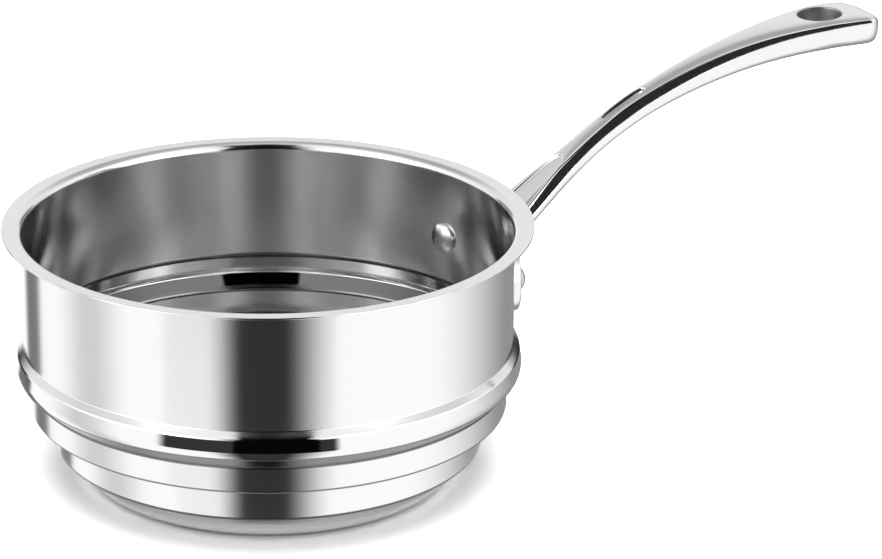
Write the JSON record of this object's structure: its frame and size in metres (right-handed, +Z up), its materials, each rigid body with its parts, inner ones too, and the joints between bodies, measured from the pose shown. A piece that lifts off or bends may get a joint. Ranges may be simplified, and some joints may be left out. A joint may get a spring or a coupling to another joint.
{
  "type": "double boiler insert pan",
  "caption": "Stepped steel bowl with a flared lip, a seating bead and a long riveted stick handle. It sits in a saucepan's mouth to warm food over simmering water.",
  "frame": {"origin": "centre of the flat base's underside, which rests on the surface below", "axes": "+Z up along the bowl's axis, +X towards the handle's tip, symmetric about the XZ plane"},
  "size_m": [0.3978, 0.2172, 0.1594],
  "materials": {
    "pan_steel": "satin stainless steel",
    "handle_steel": "mirror-polished stainless steel",
    "rivet_steel": "polished stainless steel"
  },
  "bodies": {
    "root": {"pan_body": "pan_steel", "handle": "handle_steel", "near_rivet": "rivet_steel", "far_rivet": "rivet_steel"}
  },
  "joints": []
}
